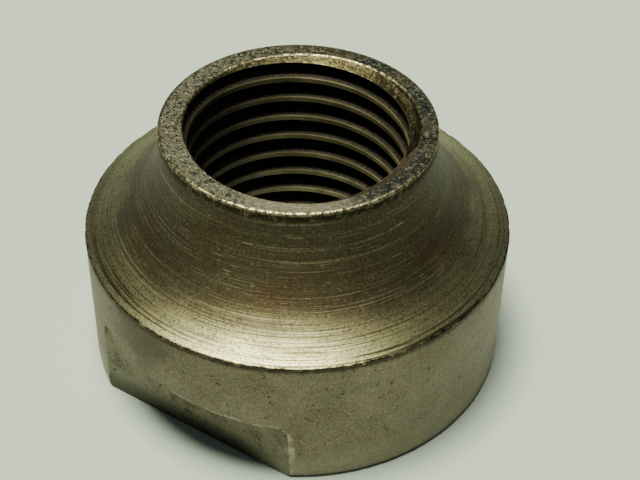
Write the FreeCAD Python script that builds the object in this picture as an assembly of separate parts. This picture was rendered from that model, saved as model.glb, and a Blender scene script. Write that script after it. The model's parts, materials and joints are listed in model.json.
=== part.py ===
import FreeCAD, Part
import math
import os

# Adjusting cone for a cup-and-cone wheel hub: one turned and hardened steel piece.
# It screws onto the axle. The loose balls run in the concave race below the nose,
# and a thin cone wrench holds the two flats cut into the back of the skirt.
#
# Frame: millimetres, +Z along the axle from the back face to the nose.
# The origin is the centre of the back face. The two flats face -Y and +Y.

# Overall sizes
outer_diameter = 17.7
overall_height = 11.15

# Axle thread, M10x1, right-hand, one start, tapped right through
thread_diameter = 10.0
thread_pitch = 1.0
groove_height_at_x_axis = 0.21

# Nose: the wall left outside the thread's roots, and a short straight neck
nose_wall = 0.6
neck_length = 0.2

# Ball race: one arc, upright at the neck and this far round where it meets the shoulder
race_sweep_degrees = 70

# Countersinks, 90 degrees, as widths added to the radius of the thread's crests
nose_countersink = 0.29
back_countersink = 0.84

# Wrench flats, milled only part of the way up the skirt
across_flats = 15.0
flat_height = 3.3

# Edge breaks
nose_edge_round = 0.15
shoulder_edge_round = 0.12
back_edge_round = 0.3

# Values that follow from the sizes above
outer_radius = outer_diameter / 2
major_radius = thread_diameter / 2
minor_radius = major_radius - 5 / 8 * thread_pitch * math.cos(math.radians(30))
nose_radius = major_radius + nose_wall
neck_end = overall_height - neck_length
race_sweep = math.radians(race_sweep_degrees)
race_radius = (outer_radius - nose_radius) / (1 - math.cos(race_sweep))
shoulder_height = neck_end - race_radius * math.sin(race_sweep)


def point(radius, height):
    """A point of the section plane: x is the radius and z the height."""
    return FreeCAD.Vector(radius, 0, height)


def race_point(angle):
    """The race this far round its arc from the neck."""
    radius = nose_radius + race_radius * (1 - math.cos(angle))
    return point(radius, neck_end - race_radius * math.sin(angle))


def edges_at(shape, radius, height):
    """The circular edges of a turned shape at one radius and height."""
    found = []
    for edge in shape.Edges:
        if not hasattr(edge.Curve, "Radius"):
            continue
        if abs(edge.Curve.Radius - radius) > 0.001:
            continue
        if abs(edge.Curve.Center.z - height) < 0.001:
            found.append(edge)
    return found


def turned_blank():
    """The solid of revolution, with its edges broken but no bore and no flats."""
    race = Part.Arc(race_point(0), race_point(race_sweep / 2), race_point(race_sweep))
    section = [
        Part.makeLine(point(0, 0), point(outer_radius, 0)),
        Part.makeLine(point(outer_radius, 0), race_point(race_sweep)),
        race.toShape(),
        Part.makeLine(race_point(0), point(nose_radius, overall_height)),
        Part.makeLine(point(nose_radius, overall_height), point(0, overall_height)),
        Part.makeLine(point(0, overall_height), point(0, 0)),
    ]
    outline = Part.Wire(Part.__sortEdges__(section))
    axis_point = FreeCAD.Vector(0, 0, 0)
    axis_direction = FreeCAD.Vector(0, 0, 1)
    blank = Part.Face(outline).revolve(axis_point, axis_direction, 360)
    breaks = [
        (nose_radius, overall_height, nose_edge_round),
        (outer_radius, shoulder_height, shoulder_edge_round),
        (outer_radius, 0, back_edge_round),
    ]
    for radius, height, edge_round in breaks:
        blank = blank.makeFillet(edge_round, edges_at(blank, radius, height))
    return blank


def bore():
    """The hole at the thread's crests, with a countersink at each end."""
    overrun = 1.0
    hole = Part.makeCylinder(
        minor_radius,
        overall_height + 2 * overrun,
        FreeCAD.Vector(0, 0, -overrun),
    )
    nose_cone = Part.makeCone(
        minor_radius,
        minor_radius + nose_countersink + overrun,
        nose_countersink + overrun,
        FreeCAD.Vector(0, 0, overall_height - nose_countersink),
    )
    back_cone = Part.makeCone(
        minor_radius + back_countersink + overrun,
        minor_radius,
        back_countersink + overrun,
        FreeCAD.Vector(0, 0, -overrun),
    )
    return hole.fuse(nose_cone).fuse(back_cone)


def thread_groove():
    """The 60-degree V groove between the crests, as one helical solid."""
    overlap = 0.1
    half_root = thread_pitch / 16
    slope = math.tan(math.radians(30))
    inner_radius = minor_radius - overlap
    half_mouth = half_root + (major_radius - inner_radius) * slope
    start = groove_height_at_x_axis - 2 * thread_pitch
    turns = math.ceil(overall_height / thread_pitch) + 3
    helix = Part.makeLongHelix(thread_pitch, turns * thread_pitch, major_radius)
    helix.translate(FreeCAD.Vector(0, 0, start))
    corners = [
        point(inner_radius, start - half_mouth),
        point(major_radius, start - half_root),
        point(major_radius, start + half_root),
        point(inner_radius, start + half_mouth),
    ]
    section = Part.makePolygon(corners + corners[:1])
    make_solid = True
    follow_frenet = True
    return helix.makePipeShell([section], make_solid, follow_frenet)


def flat_cutters():
    """Two blocks that mill the wrench flats, each ending in a level ledge."""
    half_width = across_flats / 2
    length = 2 * outer_diameter
    depth = outer_diameter
    blocks = []
    for side in (-1, 1):
        near_edge = half_width if side > 0 else -half_width - depth
        corner = FreeCAD.Vector(-length / 2, near_edge, -depth)
        blocks.append(Part.makeBox(length, depth, depth + flat_height, corner))
    return blocks


def bearing_cone():
    cone = turned_blank()
    for block in flat_cutters():
        cone = cone.cut(block)
    cone = cone.cut(bore())
    cone = cone.cut(thread_groove())
    return cone


os.makedirs("parts", exist_ok=True)
cone = bearing_cone()
if len(cone.Solids) != 1 or not cone.isValid():
    raise SystemExit("the cone isn't one valid solid")
cone.Solids[0].exportStep("parts/bearing_cone.step")
print("bearing_cone volume in cubic mm:", round(cone.Volume, 1))
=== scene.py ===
import json
import math

import bpy
from mathutils import Matrix, Vector


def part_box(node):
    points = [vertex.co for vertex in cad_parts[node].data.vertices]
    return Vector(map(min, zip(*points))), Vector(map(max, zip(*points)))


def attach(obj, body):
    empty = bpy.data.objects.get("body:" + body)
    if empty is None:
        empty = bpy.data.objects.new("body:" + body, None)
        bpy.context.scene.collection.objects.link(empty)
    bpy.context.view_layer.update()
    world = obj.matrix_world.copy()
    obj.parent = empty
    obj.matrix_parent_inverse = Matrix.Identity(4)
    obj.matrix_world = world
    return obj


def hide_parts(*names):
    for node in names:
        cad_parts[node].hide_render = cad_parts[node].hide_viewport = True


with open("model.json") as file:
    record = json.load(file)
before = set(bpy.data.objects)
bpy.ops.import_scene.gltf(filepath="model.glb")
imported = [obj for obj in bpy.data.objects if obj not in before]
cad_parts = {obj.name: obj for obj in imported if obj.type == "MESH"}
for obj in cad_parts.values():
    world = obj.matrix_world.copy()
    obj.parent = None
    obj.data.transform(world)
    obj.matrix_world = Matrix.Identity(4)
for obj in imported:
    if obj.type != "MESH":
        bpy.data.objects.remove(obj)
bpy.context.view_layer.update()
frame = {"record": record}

# --- The bearing cone --------------------------------------------------------------
# A hub bearing cone of hardened steel, turned from bar and then ground on its race.
# An axle tap cuts the thread in the turned blank and a side mill cuts the two wrench
# flats. Years of use have chipped its edges and browned it with grease.

MM = 0.001
scene = bpy.context.scene


def add_node(tree, kind, settings=None, values=None):
    """One node of any kind: its settings first, then the values or links of its sockets."""
    node = tree.nodes.new(kind)
    for name, setting in (settings or {}).items():
        setattr(node, name, setting)
    for key, value in (values or {}).items():
        if isinstance(value, Number):
            value = value.socket
        if isinstance(value, bpy.types.NodeSocket):
            tree.links.new(value, node.inputs[key])
        else:
            node.inputs[key].default_value = value
    return node


class Number:
    """A number in a node tree. Sums written with it become Math nodes."""

    def __init__(self, tree, socket):
        self.tree = tree
        self.socket = socket

    def apply(self, operation, *values):
        inputs = dict(enumerate(values))
        node = add_node(self.tree, "ShaderNodeMath", {"operation": operation}, inputs)
        return Number(self.tree, node.outputs[0])

    def __add__(self, other):
        return self.apply("ADD", self, other)

    def __sub__(self, other):
        return self.apply("SUBTRACT", self, other)

    def __rsub__(self, other):
        return self.apply("SUBTRACT", other, self)

    def __mul__(self, other):
        return self.apply("MULTIPLY", self, other)

    def __truediv__(self, other):
        return self.apply("DIVIDE", self, other)

    def __rtruediv__(self, other):
        return self.apply("DIVIDE", other, self)

    def __neg__(self):
        return self * -1

    __radd__ = __add__
    __rmul__ = __mul__

    def cos(self):
        return self.apply("COSINE", self)

    def sin(self):
        return self.apply("SINE", self)

    def root(self):
        return self.apply("SQRT", self)

    def size(self):
        return self.apply("ABSOLUTE", self)

    def least(self, other):
        return self.apply("MINIMUM", self, other)

    def most(self, other):
        return self.apply("MAXIMUM", self, other)

    def step(self, low, high):
        """0 below low, 1 above high and a smooth slope between them."""
        values = {"Value": self, "From Min": low, "From Max": high}
        settings = {"interpolation_type": "SMOOTHSTEP"}
        node = add_node(self.tree, "ShaderNodeMapRange", settings, values)
        return Number(self.tree, node.outputs["Result"])


def vector(tree, x, y, z):
    return add_node(tree, "ShaderNodeCombineXYZ", None, {0: x, 1: y, 2: z}).outputs[0]


def split(tree, socket):
    """The three numbers of a vector."""
    node = add_node(tree, "ShaderNodeSeparateXYZ", None, {0: socket})
    return [Number(tree, output) for output in node.outputs]


def noise(tree, place, scale, detail, rough):
    values = {"Vector": place, "Scale": scale, "Detail": detail, "Roughness": rough}
    node = add_node(tree, "ShaderNodeTexNoise", None, values)
    return Number(tree, node.outputs[0])


mounts = {mount["name"]: mount for mount in frame["record"]["mounts"]}
_, high_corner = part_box("bearing_cone")
cone_sizes = {
    "Outer Radius": high_corner[0],
    "Height": high_corner[2],
    "Crest Radius": mounts["axle_thread"]["dims"]["r_mm"] * MM,
    "Root Radius": 5.0 * MM,
    "Pitch": 1.0 * MM,
    "Groove Height": 0.21 * MM,
    "Nose Radius": 5.6 * MM,
    "Neck": 0.2 * MM,
    "Race Sweep": math.radians(70),
    "Nose Edge": 0.15 * MM,
    "Shoulder Edge": 0.07 * MM,
    "Back Edge": 0.3 * MM,
    "Nose Countersink": 0.30 * MM,
    "Back Countersink": 0.84 * MM,
    "Mouth Drift X": 0.09 * MM,
    "Mouth Drift Y": 0.125 * MM,
    "Half Flats": mounts["wrench_flat_back"]["pos_m"][1],
    "Flat Height": 3.3 * MM,
    "Ledge Slope": 0.12,
    "Seed": 7.0,
}
materials = {}
for surface in ("nose", "edge", "race", "skirt", "mouth", "thread", "flat"):
    material = bpy.data.materials.new(surface + "_steel")
    material.use_nodes = True
    materials[material.name] = material

shape = bpy.data.node_groups.new("bearing_cone", "GeometryNodeTree")
for name in cone_sizes:
    shape.interface.new_socket(name, in_out="INPUT", socket_type="NodeSocketFloat")
shape.interface.new_socket("Geometry", in_out="OUTPUT", socket_type="NodeSocketGeometry")
given = add_node(shape, "NodeGroupInput")
size = {name: Number(shape, given.outputs[name]) for name in cone_sizes}

AROUND = 480
WELD = 0.002 * MM
race_radius = (size["Outer Radius"] - size["Nose Radius"]) / (1 - size["Race Sweep"].cos())
neck_end = size["Height"] - size["Neck"]
shoulder_height = neck_end - race_radius * size["Race Sweep"].sin()
mouth_radius = size["Crest Radius"] + size["Nose Countersink"]


def race_point(angle):
    radius = size["Nose Radius"] + race_radius * (1 - angle.cos())
    return radius, neck_end - race_radius * angle.sin()


def straight(start, end):
    """A line of the section, as a function of how far along it a row is."""
    return lambda v: tuple(a + (b - a) * v for a, b in zip(start, end))


def rounded(start, corner, end):
    """A broken edge: a curve that leaves start and meets end, both aimed at the corner."""

    def curve(v):
        w = 1 - v
        aims = zip(start, corner, end)
        return tuple(w * w * a + 2 * v * w * b + v * v * c for a, b, c in aims)

    return curve


def swept_band(rows, columns, place, finish, **relief):
    """A grid put where place(u, v) says, with its finish and the depths of its marks."""
    grid = add_node(
        shape,
        "GeometryNodeMeshGrid",
        None,
        {"Size X": 1, "Size Y": 1, "Vertices X": columns + 1, "Vertices Y": rows + 1},
    ).outputs["Mesh"]
    flat_place = add_node(shape, "GeometryNodeInputPosition").outputs[0]
    x, y, _ = split(shape, flat_place)
    for name, depth in relief.items():
        store = {"Geometry": grid, "Name": name, "Value": depth}
        grid = add_node(shape, "GeometryNodeStoreNamedAttribute", None, store).outputs[0]
    moved = {"Geometry": grid, "Position": place(x + 0.5, y + 0.5)}
    band = add_node(shape, "GeometryNodeSetPosition", None, moved).outputs[0]
    painted = {"Geometry": band, "Material": materials[finish]}
    return add_node(shape, "GeometryNodeSetMaterial", None, painted).outputs[0]


def turned_band(rows, section, finish, drift=None, **relief):
    """A band turned about the axle, with its centre moved to one side where it drifts."""

    def place(u, v):
        radius, height = section(v)
        angle = -u * math.tau
        x = angle.cos() * radius
        y = angle.sin() * radius
        if drift is not None:
            x = x + size["Mouth Drift X"] * drift(v)
            y = y + size["Mouth Drift Y"] * drift(v)
        return vector(shape, x, y, height)

    return swept_band(rows, AROUND, place, finish, **relief)


def joined(parts):
    """One closed shell, made of bands that share their edges."""
    node = add_node(shape, "GeometryNodeJoinGeometry")
    for part in parts:
        shape.links.new(part, node.inputs[0])
    weld = {"Geometry": node.outputs[0], "Distance": WELD}
    return add_node(shape, "GeometryNodeMergeByDistance", None, weld).outputs[0]


SKIRT_STEP = 0.02 * MM
zero = size["Height"] * 0
break_angle = size["Race Sweep"] - size["Shoulder Edge"] / race_radius
mouth_break = size["Nose Countersink"] * 0.16
skirt_radius = size["Outer Radius"] - SKIRT_STEP
skirt_top = shoulder_height - size["Shoulder Edge"] * 2
back_mouth = size["Crest Radius"] + size["Back Countersink"]

points = {
    "mouth": (mouth_radius + mouth_break, size["Height"]),
    "nose": (size["Nose Radius"] - size["Nose Edge"], size["Height"]),
    "nose corner": (size["Nose Radius"], size["Height"]),
    "neck top": (size["Nose Radius"], size["Height"] - size["Nose Edge"]),
    "neck end": (size["Nose Radius"], neck_end),
    "race end": race_point(break_angle),
    "shoulder": (size["Outer Radius"], shoulder_height),
    "lip": (size["Outer Radius"] - SKIRT_STEP / 2, shoulder_height - size["Shoulder Edge"]),
    "undercut": (skirt_radius - SKIRT_STEP * 1.5, skirt_top),
    "skirt top": (skirt_radius, skirt_top - size["Shoulder Edge"] * 2),
    "skirt foot": (skirt_radius, size["Back Edge"]),
    "foot corner": (skirt_radius, zero),
    "back": (skirt_radius - size["Back Edge"], zero),
    "back mouth": (back_mouth, zero),
    "bore foot": (size["Crest Radius"], size["Back Countersink"]),
    "bore top": (size["Crest Radius"], size["Height"] - size["Nose Countersink"]),
    "cone top": (mouth_radius - mouth_break, size["Height"] - mouth_break),
    "mouth corner": (mouth_radius, size["Height"]),
}


def line(first, last):
    return straight(points[first], points[last])


def bend(first, corner, last):
    return rounded(points[first], points[corner], points[last])


def race_section(v):
    return race_point(break_angle * v)


shoulder = bend("race end", "shoulder", "lip")
foot = bend("skirt foot", "foot corner", "back")
nose_edge = bend("nose", "nose corner", "neck top")
mouth_edge = bend("cone top", "mouth corner", "mouth")

blank = joined(
    [
        turned_band(10, line("mouth", "nose"), "nose_steel", lambda v: 1 - v, pitted=0.03 * MM),
        turned_band(6, nose_edge, "edge_steel", pitted=0.02 * MM),
        turned_band(1, line("neck top", "neck end"), "race_steel", pitted=0.01 * MM),
        turned_band(80, race_section, "race_steel", turned=0.006 * MM, pitted=0.004 * MM),
        turned_band(3, shoulder, "race_steel", chipped=0.032 * MM),
        turned_band(1, line("lip", "undercut"), "skirt_steel", chipped=0.03 * MM),
        turned_band(1, line("undercut", "skirt top"), "skirt_steel", pitted=0.01 * MM),
        turned_band(24, line("skirt top", "skirt foot"), "skirt_steel", pitted=0.012 * MM),
        turned_band(4, foot, "skirt_steel", pitted=0.01 * MM),
        turned_band(4, line("back", "back mouth"), "skirt_steel", turned=0.004 * MM),
        turned_band(2, line("back mouth", "bore foot"), "mouth_steel"),
        turned_band(2, line("bore foot", "bore top"), "thread_steel"),
        turned_band(3, line("bore top", "cone top"), "mouth_steel", lambda v: v, pitted=0.01 * MM),
        turned_band(3, mouth_edge, "edge_steel", lambda v: 1, pitted=0.01 * MM),
    ]
)


def stored(name):
    node = add_node(shape, "GeometryNodeInputNamedAttribute", None, {"Name": name})
    return Number(shape, node.outputs["Attribute"])


def worn(geometry):
    """The blank with its tool marks, pits and chips, all cut inwards."""
    place = add_node(shape, "GeometryNodeInputPosition").outputs[0]
    x, y, z = split(shape, place)
    radius = (x * x + y * y).root()
    marks_per_mm, change_around = 3.2, 1.6
    marks = vector(
        shape,
        (radius - z) / MM * marks_per_mm,
        x / radius * change_around + size["Seed"],
        y / radius * change_around,
    )
    turned = noise(shape, marks, 1.0, 3.0, 0.6) * 2
    pitted = noise(shape, place, 4.5 / MM, 2.0, 0.6)
    chipped = noise(shape, place, 1.7 / MM, 4.0, 0.7).step(0.46, 0.66)
    depth = stored("turned") * turned + stored("pitted") * pitted + stored("chipped") * chipped
    normal = add_node(shape, "GeometryNodeInputNormal").outputs[0]
    scaled = {0: normal, "Scale": -depth}
    inward = add_node(shape, "ShaderNodeVectorMath", {"operation": "SCALE"}, scaled).outputs[0]
    moved = {"Geometry": geometry, "Offset": inward}
    return add_node(shape, "GeometryNodeSetPosition", None, moved).outputs[0]


TURNS = 14
COLUMNS_A_TURN = 112
TAP_COLUMNS = TURNS * COLUMNS_A_TURN
thread_start = size["Groove Height"] - size["Pitch"] * 2
half_root = size["Pitch"] / 16
flank_slope = math.tan(math.radians(30))
crest_round = size["Pitch"] * 0.085
flank_end = size["Crest Radius"] + crest_round
flank_half = half_root + (size["Root Radius"] - flank_end) * flank_slope
lip_half = flank_half + crest_round * 0.9
inner_radius = size["Crest Radius"] - size["Pitch"] * 0.12
groove_points = {
    "inner low": (inner_radius, -(lip_half + crest_round * 0.3)),
    "lip low": (size["Crest Radius"], -lip_half),
    "flank low": (flank_end, -flank_half),
    "root low": (size["Root Radius"], -half_root),
    "root high": (size["Root Radius"], half_root),
    "flank high": (flank_end, flank_half),
    "lip high": (size["Crest Radius"], lip_half),
    "inner high": (inner_radius, lip_half + crest_round * 0.3),
}


def groove_band(rows, first, last):
    """A side of the tap's tooth, swept up the thread and drawn to a point at both ends."""

    def place(u, v):
        radius, height = straight(groove_points[first], groove_points[last])(v)
        ends = (u * TAP_COLUMNS).least((1 - u) * TAP_COLUMNS).least(1)
        radius = size["Crest Radius"] + (radius - size["Crest Radius"]) * ends
        angle = u * (TURNS * math.tau)
        climb = thread_start + size["Pitch"] * TURNS * u + height * ends
        return vector(shape, angle.cos() * radius, angle.sin() * radius, climb)

    return swept_band(rows, TAP_COLUMNS, place, "thread_steel")


corners = list(groove_points)
tap = joined(
    [
        groove_band(2 if "flank" in first and "root" in last else 1, first, last)
        for first, last in zip(corners, corners[1:] + corners[:1])
    ]
)

LEDGE_ENDS, END_LENGTH, END_DROP = 4.0, 0.7, 0.55
LEDGE_WANDER, LEDGE_SCUFFS = 0.30, 0.10
RIM_WIDTH = 0.16 * MM
RIM_RISE = 0.9
MILL_FOOT = -1.0 * MM
FLAT_LEAN = 0.10 * MM


def end_drop(x):
    """How far, in mm, a ledge falls away at the two ends of its flat."""
    past = (x.size() / MM - LEDGE_ENDS).most(0) / END_LENGTH
    return past * past * END_DROP


def mill_marks(tree, place):
    """The slow wander and the quick scuffs that the cutter left."""
    wander = noise(tree, place, 1.4 / MM, 3.0, 0.6) - 0.5
    scuffs = noise(tree, place, 4.0 / MM, 2.0, 0.6) - 0.5
    return wander, scuffs


def side_mill(side):
    """The block that a cutter clears for one flat: its face, and a ledge with a worn rim."""
    length, depth = 12 * MM, 2.2 * MM
    block = add_node(
        shape,
        "GeometryNodeMeshCube",
        None,
        {"Size": (1, 1, 1), "Vertices X": 120, "Vertices Y": 28, "Vertices Z": 30},
    ).outputs["Mesh"]
    centred = add_node(shape, "GeometryNodeInputPosition").outputs[0]
    u, v, w = split(shape, centred)
    x = u * length * side
    outward = size["Half Flats"] + (w + 0.5) * FLAT_LEAN + (v + 0.5) * depth
    radius = (x * x + outward * outward).root()
    rim = (radius - size["Outer Radius"] + RIM_WIDTH).most(0)
    top = size["Flat Height"] - x * size["Ledge Slope"] + rim * RIM_RISE - end_drop(x) * MM
    height = (w + 0.5) * (top - MILL_FOOT) + MILL_FOOT
    wander, scuffs = mill_marks(shape, vector(shape, x, outward, height))
    ledge = (w + 0.5).step(0.9, 1.0)
    height = height + (wander * LEDGE_WANDER * MM + scuffs * LEDGE_SCUFFS * MM) * ledge
    face = 1 - (v + 0.5).step(0.0, 0.1)
    outward = outward + (wander.size() * 0.06 * MM + scuffs.size() * 0.04 * MM) * face
    moved = {"Geometry": block, "Position": vector(shape, x, outward * side, height)}
    cut = add_node(shape, "GeometryNodeSetPosition", None, moved).outputs[0]
    painted = {"Geometry": cut, "Material": materials["flat_steel"]}
    return add_node(shape, "GeometryNodeSetMaterial", None, painted).outputs[0]


exact_cut = {"operation": "DIFFERENCE", "solver": "EXACT"}
cutting = add_node(shape, "GeometryNodeMeshBoolean", exact_cut)
shape.links.new(worn(blank), cutting.inputs["Mesh 1"])
for tool in (tap, side_mill(-1), side_mill(1)):
    shape.links.new(tool, cutting.inputs["Mesh 2"])
real = add_node(shape, "GeometryNodeRealizeInstances", None, {0: cutting.outputs[0]})
finished = add_node(shape, "NodeGroupOutput")
shape.links.new(real.outputs[0], finished.inputs[0])

cone = bpy.data.objects.new("cone_steel", bpy.data.meshes.new("unturned"))
scene.collection.objects.link(cone)
modifier = cone.modifiers.new("turning", "NODES")
modifier.node_group = shape
for item in shape.interface.items_tree:
    if item.in_out == "INPUT":
        modifier[item.identifier] = cone_sizes[item.name]
bpy.context.view_layer.update()
evaluated = cone.evaluated_get(bpy.context.evaluated_depsgraph_get())
steel_mesh = bpy.data.meshes.new_from_object(evaluated)
cone.modifiers.remove(modifier)
cone.data = steel_mesh
steel_mesh.set_sharp_from_angle(angle=math.radians(40))
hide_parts("bearing_cone")
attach(cone, "root")

# The steel, and the sides of the cone: the front, where a highlight and shade are painted, the
# dusted side, and the side of the bore where shade is painted
STEEL = (0.55, 0.545, 0.298, 1)
ACROSS_RINGS = 0.25
FRONT = (0.54, -0.84)
DUSTY_SIDE = (-0.84, -0.54)
SHADED_BORE_SIDE = (-0.85, -0.52)

outside = cone_sizes["Outer Radius"] / MM
nose_top = cone_sizes["Height"] / MM
neck_foot = (cone_sizes["Height"] - cone_sizes["Neck"]) / MM
crest = cone_sizes["Crest Radius"] / MM
half_flats = cone_sizes["Half Flats"] / MM
flat_top = cone_sizes["Flat Height"] / MM
ledge_slope = cone_sizes["Ledge Slope"]
sweep = cone_sizes["Race Sweep"]
race_arc = (outside - cone_sizes["Nose Radius"] / MM) / (1 - math.cos(sweep))
shoulder_top = neck_foot - race_arc * math.sin(sweep)


def steel(finish, rough, drawn):
    """The parts of one finish: its tree, its shader and the place on the cone."""
    tree = materials[finish].node_tree
    shader = tree.nodes["Principled BSDF"]
    shader.inputs["Metallic"].default_value = 1.0
    shader.inputs["Roughness"].default_value = rough
    shader.inputs["Anisotropic"].default_value = drawn
    shader.inputs["Anisotropic Rotation"].default_value = ACROSS_RINGS
    return tree, shader, add_node(tree, "ShaderNodeTexCoord").outputs["Object"]


def link(tree, socket, target):
    tree.links.new(socket.socket if isinstance(socket, Number) else socket, target)


def blend(tree, amount, first, second):
    """Goes from one colour to another as the amount goes from 0 to 1."""
    colours = {0: amount, 6: first, 7: second}
    return add_node(tree, "ShaderNodeMix", {"data_type": "RGBA"}, colours).outputs[2]


def about_axle(tree, place):
    """The radius, how far out along the section in mm, and the direction from the axle."""
    x, y, z = split(tree, place)
    radius = (x * x + y * y).root()
    return radius, (radius - z) / MM, (x / radius, y / radius)


def facing(direction, side):
    """1 where the cone faces a side, and -1 where it faces away from it."""
    return direction[0] * side[0] + direction[1] * side[1]


def bumped(tree, height, depth):
    values = {"Height": height, "Distance": depth, "Strength": 1.0}
    return add_node(tree, "ShaderNodeBump", None, values).outputs[0]


def rings(tree, along, direction, count, change, detail, shift):
    """Turning marks: fine round the section, and fading in and out round the axle."""
    dx, dy = direction
    ring = vector(tree, along * count + shift, dx * change, dy * change + shift)
    return noise(tree, ring, 1.0, detail, 0.6)


# Race: ground bright by the balls near its rim, and brown with old grease further in
tree, shader, place = steel("race_steel", 0.42, 0.6)
radius, along, direction = about_axle(tree, place)
fine = rings(tree, along, direction, 13.0, 0.9, 4.0, 0.0)
broad = rings(tree, along, direction, 5.0, 0.4, 3.0, 4.0)
lines = rings(tree, along, direction, 10.0, 1.1, 3.0, 9.0)
streaks = rings(tree, along, direction, 19.0, 5.5, 2.0, 15.0)
grain = noise(tree, place, 9.0 / MM, 4.0, 0.85)
cloud = noise(tree, place, 0.34 / MM, 3.0, 0.6)
front = facing(direction, FRONT).step(-0.5, 0.7)
clean = (along + cloud * 3.0 - 1.5).step(-1.0, 2.9)
old_grease = (0.088, 0.078, 0.047, 1)
warm_grease = (0.082, 0.060, 0.034, 1)
grease = blend(tree, cloud.step(0.42, 0.62), old_grease, warm_grease)
colour = blend(tree, clean, grease, STEEL)
bright_scratch = (0.68, 0.66, 0.42, 1)
scratched = fine.step(0.56, 0.66) * (0.20 + clean * 0.5)
colour = blend(tree, scratched, colour, bright_scratch)
dull_ring = (0.060, 0.050, 0.028, 1)
colour = blend(tree, broad.step(0.56, 0.61) * 0.28, colour, dull_ring)
# Dark turning lines all round. On the front near the rim they are darker still, as painted shade
# in the highlight.
dark_line_and_shade = (0.048, 0.038, 0.018, 1)
lined_and_shaded = lines.step(0.54, 0.58) * (0.14 + front * (0.16 + clean * 0.6))
colour = blend(tree, lined_and_shaded, colour, dark_line_and_shade)
short_streak = (0.60, 0.57, 0.36, 1)
colour = blend(tree, streaks.step(0.67, 0.73) * 0.5, colour, short_streak)
dark_grain = (0.040, 0.033, 0.020, 1)
colour = blend(tree, grain.step(0.50, 0.60) * 0.65, colour, dark_grain)
glint = (0.40, 0.38, 0.24, 1)
colour = blend(tree, grain.step(0.42, 0.32) * 0.45, colour, glint)
rim_dirt = (0.055, 0.044, 0.028, 1)
jag = noise(tree, place, 3.4 / MM, 4.0, 0.75) - 0.5
at_rim = (radius / MM + jag * 0.40).step(outside - 0.10, outside - 0.03)
colour = blend(tree, at_rim, colour, rim_dirt)
wet_dirt = (0.036, 0.030, 0.018, 1)
dry_dirt = (0.20, 0.165, 0.095, 1)
clods = noise(tree, place, 3.6 / MM, 4.0, 0.8)
dirt = blend(tree, clods.step(0.52, 0.60), wet_dirt, dry_dirt)
under_nose = (radius / MM - along).step(neck_foot - 0.40, neck_foot)
colour = blend(tree, under_nose * 0.9, colour, dirt)
link(tree, colour, shader.inputs["Base Color"])
rough = 0.50 - clean * 0.20 + grain * 0.12 + under_nose * 0.2
link(tree, rough, shader.inputs["Roughness"])
relief = fine * 1.3 + broad * 0.6 + lines * (0.7 + front) + streaks * 0.3 + grain * 0.6
link(tree, bumped(tree, relief, 0.0085 * MM), shader.inputs["Normal"])

# Skirt and back face: dull turned steel with an oil stain, painted shade under the shoulder, a
# painted reflection of the table near the foot, and a burr thrown up along the edge of each flat
tree, shader, place = steel("skirt_steel", 0.5, 0.3)
x, y, z = split(tree, place)
cloud = noise(tree, place, 0.5 / MM, 4.0, 0.6)
tint = noise(tree, place, 1.3 / MM, 4.0, 0.7)
grain = noise(tree, place, 14.0 / MM, 3.0, 0.8)
speck = noise(tree, place, 3.2 / MM, 4.0, 0.7)
dull_steel = (0.162, 0.132, 0.086, 1)
pale_steel = (0.242, 0.202, 0.142, 1)
colour = blend(tree, cloud.step(0.30, 0.70), dull_steel, pale_steel)
grey_steel = (0.175, 0.160, 0.115, 1)
colour = blend(tree, tint.step(0.45, 0.60) * 0.6, colour, grey_steel)
dark_grain = (0.060, 0.048, 0.028, 1)
colour = blend(tree, grain.step(0.50, 0.62) * 0.45, colour, dark_grain)
glint = (0.40, 0.365, 0.25, 1)
colour = blend(tree, grain.step(0.46, 0.36) * 0.45, colour, glint)
rust_speck = (0.050, 0.034, 0.020, 1)
colour = blend(tree, speck.step(0.61, 0.69) * 0.75, colour, rust_speck)
# Painted shade: a patchy dark band just under the shoulder lip.
lip_shade = (0.035, 0.027, 0.016, 1)
near_shoulder = (z / MM).step(shoulder_top - 0.33, shoulder_top - 0.11)
colour = blend(tree, (near_shoulder * (speck * 1.9)).least(0.9), colour, lip_shade)
# Painted reflection: the skirt is made lighter towards its foot, as if it gave back the pale
# table.
table_reflection = (0.36, 0.335, 0.24, 1)
colour = blend(tree, (z / MM + tint).step(2.4, 0.6) * 0.45, colour, table_reflection)
oil_stain = (0.060, 0.052, 0.030, 1)
stain_centre = (-1.9, -8.65, 5.9)
across_stain = [axis / MM - middle for axis, middle in zip((x, y, z), stain_centre)]
stain_x, stain_y, stain_z = [offset * offset for offset in across_stain]
from_stain = (stain_x + stain_y + stain_z).root() + cloud * 2
colour = blend(tree, from_stain.step(3.6, 1.6) * 0.6, colour, oil_stain)
wander, scuffs = mill_marks(tree, vector(tree, x, y.size(), z))
rim_top = flat_top + (RIM_WIDTH - SKIRT_STEP) / MM * RIM_RISE
above = (z + x * ledge_slope) / MM - rim_top
above = above - wander * LEDGE_WANDER - scuffs * LEDGE_SCUFFS + end_drop(x)
across = y.size() / MM
ragged = noise(tree, place, 5.0 / MM, 3.0, 0.75)
width = (ragged - 0.38) * 0.9
near_flat = across.step(half_flats - 0.08, half_flats)
over_ledge = (width - above).step(0.0, 0.05) * near_flat
lean = (z - MILL_FOOT) / MM * (FLAT_LEAN / (flat_top * MM - MILL_FOOT))
beside_flat = (across - half_flats - lean + width * 0.16).step(0.0, 0.03) * above.step(0.1, 0.0)
fresh = (x / MM).step(-2.5, 3.2)
burr = over_ledge.most(beside_flat * 0.6) * tint.step(0.36, 0.60) * (0.04 + fresh * 0.90)
smudged = (0.40 - above.size()).step(0.0, 0.45) * near_flat * (1 - fresh * 0.65)
smudge = (0.050, 0.044, 0.032, 1)
colour = blend(tree, smudged * ragged.step(0.46, 0.60) * 0.8, colour, smudge)
burr_steel = (0.34, 0.325, 0.24, 1)
colour = blend(tree, burr, colour, burr_steel)
link(tree, colour, shader.inputs["Base Color"])
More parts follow.
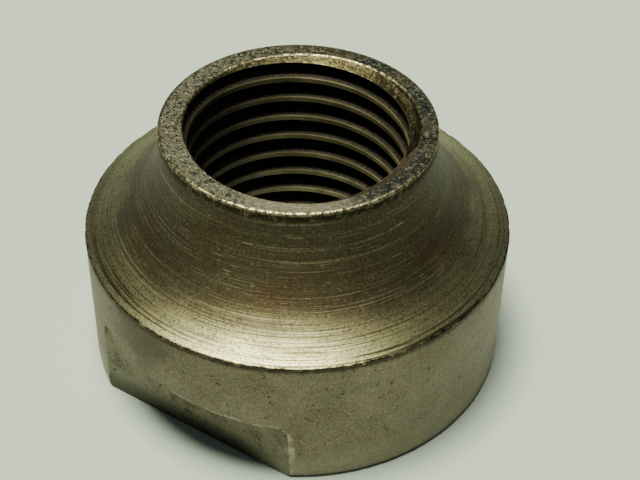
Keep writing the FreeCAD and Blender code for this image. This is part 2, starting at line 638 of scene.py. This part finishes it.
link(tree, 0.46 + grain * 0.16 - burr * 0.12, shader.inputs["Roughness"])
relief = grain * 0.7 - speck.step(0.58, 0.72) * 1.5 + burr * 3.0
link(tree, bumped(tree, relief, 0.008 * MM), shader.inputs["Normal"])

# Nose face: pitted, dusted most heavily on one side, and with a painted highlight on the front
tree, shader, place = steel("nose_steel", 0.5, 0.0)
direction = about_axle(tree, place)[2]
dusty = (0.5 + facing(direction, DUSTY_SIDE) * 0.5).step(0.15, 0.95)
cloud = noise(tree, place, 0.9 / MM, 3.0, 0.6)
lumps = noise(tree, place, 5.5 / MM, 4.0, 0.8)
grain = noise(tree, place, 13.0 / MM, 3.0, 0.75)
blued_steel = (0.024, 0.030, 0.030, 1)
browned_steel = (0.048, 0.048, 0.036, 1)
dark = blend(tree, cloud.step(0.4, 0.6), blued_steel, browned_steel)
grey_dust = (0.182, 0.190, 0.136, 1)
colour = blend(tree, (lumps + dusty * 0.08).step(0.50, 0.62), dark, grey_dust)
dry_grease = (0.106, 0.092, 0.056, 1)
colour = blend(tree, cloud.step(0.45, 0.65) * 0.35, colour, dry_grease)
# Painted highlight: the front of the nose face is made lighter.
front_highlight_steel = (0.38, 0.37, 0.27, 1)
front_highlight = (facing(direction, FRONT) + lumps * 0.1).step(0.90, 1.05)
colour = blend(tree, front_highlight * 0.6, colour, front_highlight_steel)
pale_grit = (0.60, 0.57, 0.42, 1)
colour = blend(tree, (grain + dusty * 0.04).step(0.62, 0.69), colour, pale_grit)
link(tree, colour, shader.inputs["Base Color"])
link(tree, 0.36 + lumps * 0.3, shader.inputs["Roughness"])
link(tree, bumped(tree, lumps + grain * 0.6, 0.04 * MM), shader.inputs["Normal"])

# Edges that wear has polished, with grime left along their lower side
tree, shader, place = steel("edge_steel", 0.34, 0.3)
lumps = noise(tree, place, 4.5 / MM, 4.0, 0.8)
worn_bright = (0.60, 0.57, 0.33, 1)
chip_brown = (0.085, 0.075, 0.048, 1)
colour = blend(tree, lumps.step(0.43, 0.56), worn_bright, chip_brown)
grime = (0.050, 0.042, 0.026, 1)
grimy = (split(tree, place)[2] / MM).step(nose_top - 0.06, nose_top - 0.12)
colour = blend(tree, grimy * 0.9, colour, grime)
link(tree, colour, shader.inputs["Base Color"])
link(tree, 0.22 + lumps * 0.3 + grimy * 0.3, shader.inputs["Roughness"])
link(tree, bumped(tree, lumps, 0.03 * MM), shader.inputs["Normal"])

# Countersinks: ringed by the cutter, with dirt in the rings
tree, shader, place = steel("mouth_steel", 0.45, 0.4)
_, along, direction = about_axle(tree, place)
fine = rings(tree, along, direction, 14.0, 1.6, 3.0, 2.0)
lumps = noise(tree, place, 6.0 / MM, 4.0, 0.8)
ring_dirt = (0.030, 0.026, 0.014, 1)
cut_steel = (0.145, 0.132, 0.066, 1)
colour = blend(tree, fine.step(0.40, 0.60), ring_dirt, cut_steel)
black_lump = (0.030, 0.026, 0.016, 1)
colour = blend(tree, lumps.step(0.48, 0.58) * 0.85, colour, black_lump)
bright_nick = (0.42, 0.38, 0.22, 1)
colour = blend(tree, lumps.step(0.44, 0.36) * 0.7, colour, bright_nick)
link(tree, colour, shader.inputs["Base Color"])
link(tree, bumped(tree, fine + lumps * 1.2, 0.03 * MM), shader.inputs["Normal"])

# Thread: crests rubbed by the axle, with black oil left between them and painted shade on one side
# of the bore
tree, shader, place = steel("thread_steel", 0.6, 0.0)
radius, _, direction = about_axle(tree, place)
grain = noise(tree, place, 9.0 / MM, 3.0, 0.7)
cloud = noise(tree, place, 0.6 / MM, 3.0, 0.6)
oily = (radius / MM + grain * 0.04).step(crest + 0.026, crest + 0.071)
dull_crest = (0.15, 0.136, 0.062, 1)
bright_crest = (0.30, 0.276, 0.145, 1)
colour = blend(tree, cloud.step(0.35, 0.65), dull_crest, bright_crest)
# Painted shade: the crests on one side of the bore are darkened.
bore_shade = (0.040, 0.038, 0.026, 1)
shaded_wall = facing(direction, SHADED_BORE_SIDE).step(-0.1, 0.85)
colour = blend(tree, shaded_wall * 0.8, colour, bore_shade)
black_oil = (0.018, 0.015, 0.010, 1)
brown_crust = (0.075, 0.060, 0.034, 1)
crusted = blend(tree, grain.step(0.42, 0.58), black_oil, brown_crust)
link(tree, blend(tree, oily, colour, crusted), shader.inputs["Base Color"])
link(tree, 0.55 - oily * 0.3, shader.inputs["Metallic"])
link(tree, bumped(tree, grain, 0.010 * MM), shader.inputs["Normal"])

# Wrench flats: scuffed by the wrench, with dirt and painted shade below the ledge, and painted
# shade at the foot
tree, shader, place = steel("flat_steel", 0.55, 0.0)
x, _, z = split(tree, place)
cloud = noise(tree, place, 0.8 / MM, 4.0, 0.65)
lumps = noise(tree, place, 3.0 / MM, 4.0, 0.7)
grain = noise(tree, place, 10.0 / MM, 3.0, 0.75)
dull_steel = (0.088, 0.078, 0.050, 1)
pale_steel = (0.185, 0.172, 0.118, 1)
colour = blend(tree, cloud.step(0.30, 0.60), dull_steel, pale_steel)
pale_grain = (0.30, 0.285, 0.20, 1)
colour = blend(tree, grain.step(0.42, 0.62) * 0.45, colour, pale_grain)
dark_pit = (0.035, 0.028, 0.018, 1)
colour = blend(tree, lumps.step(0.58, 0.68) * 0.85, colour, dark_pit)
# Dirt in patches just below the ledge, darkened further as painted shade under the overhang.
dirt_and_ledge_shade = (0.045, 0.036, 0.024, 1)
below = (z + x * ledge_slope) / MM - flat_top + end_drop(x)
packed_and_shaded = below.step(-0.55, 0.0) * (lumps + 0.1).step(0.46, 0.62)
colour = blend(tree, packed_and_shaded * 0.8, colour, dirt_and_ledge_shade)
# Painted shade: the flat is darkened towards its foot, except near one end.
foot_shade = (0.050, 0.047, 0.036, 1)
shaded_foot = (1.0 - z / MM + cloud * 1.2).step(0.3, 1.3) * (x / MM).step(4.3, 2.2)
colour = blend(tree, shaded_foot * 0.7, colour, foot_shade)
link(tree, colour, shader.inputs["Base Color"])
link(tree, bumped(tree, lumps + grain * 0.4, 0.025 * MM), shader.inputs["Normal"])

# --- Camera, floor and light --------------------------------------------------------
# A close view from about 42 degrees above, over a pale table top. One small soft lamp
# hangs almost overhead, and the room gives back very little light.

cone_turn = Matrix.Rotation(math.radians(32.8), 3, "Z")
yaw, pitch, roll = 0.0208, 0.7263, 0.0201
forward = cone_turn @ Vector(
    (math.sin(yaw) * math.cos(pitch), math.cos(yaw) * math.cos(pitch), -math.sin(pitch))
)
level_right = cone_turn @ Vector((math.cos(yaw), -math.sin(yaw), 0))
level_up = level_right.cross(forward)
right = math.cos(roll) * level_right + math.sin(roll) * level_up
up = math.cos(roll) * level_up - math.sin(roll) * level_right

camera_data = bpy.data.cameras.new("camera")
camera_data.lens = 80.64
camera_data.clip_start = 0.001
camera_data.clip_end = 10
camera = bpy.data.objects.new("camera", camera_data)
scene.collection.objects.link(camera)
view = Matrix((right, up, -forward)).transposed().to_4x4()
view.translation = cone_turn @ Vector((0, -45.50 * MM, 45.37 * MM))
camera.matrix_world = view
scene.camera = camera

reach = 1.0
corners = [(-reach, -reach, 0), (reach, -reach, 0), (reach, reach, 0), (-reach, reach, 0)]
floor_mesh = bpy.data.meshes.new("floor")
floor_mesh.from_pydata(corners, [], [(0, 1, 2, 3)])
floor = bpy.data.objects.new("floor", floor_mesh)
scene.collection.objects.link(floor)
floor_paint = bpy.data.materials.new("floor_paint")
floor_paint.use_nodes = True
paint = floor_paint.node_tree.nodes["Principled BSDF"]
paint.inputs["Base Color"].default_value = (0.59, 0.725, 0.67, 1)
paint.inputs["Roughness"].default_value = 0.7
floor_mesh.materials.append(floor_paint)

room = bpy.data.worlds.new("room")
scene.world = room
room.use_nodes = True
backdrop = room.node_tree.nodes["Background"]
backdrop.inputs["Color"].default_value = (0.85, 0.9, 1.0, 1)
backdrop.inputs["Strength"].default_value = 0.07

lamp_data = bpy.data.lights.new("overhead", "AREA")
lamp_data.shape = "DISK"
lamp_data.size = 0.19
lamp_data.energy = 3.5
lamp_data.color = (1, 0.955, 0.74)
lamp = bpy.data.objects.new("overhead", lamp_data)
scene.collection.objects.link(lamp)
lamp_distance = 0.45
toward_lamp = (cone_turn @ Vector((-0.12, 0.0, 1.0))).normalized()
lamp.location = toward_lamp * lamp_distance
lamp.rotation_euler = toward_lamp.to_track_quat("Z", "Y").to_euler()
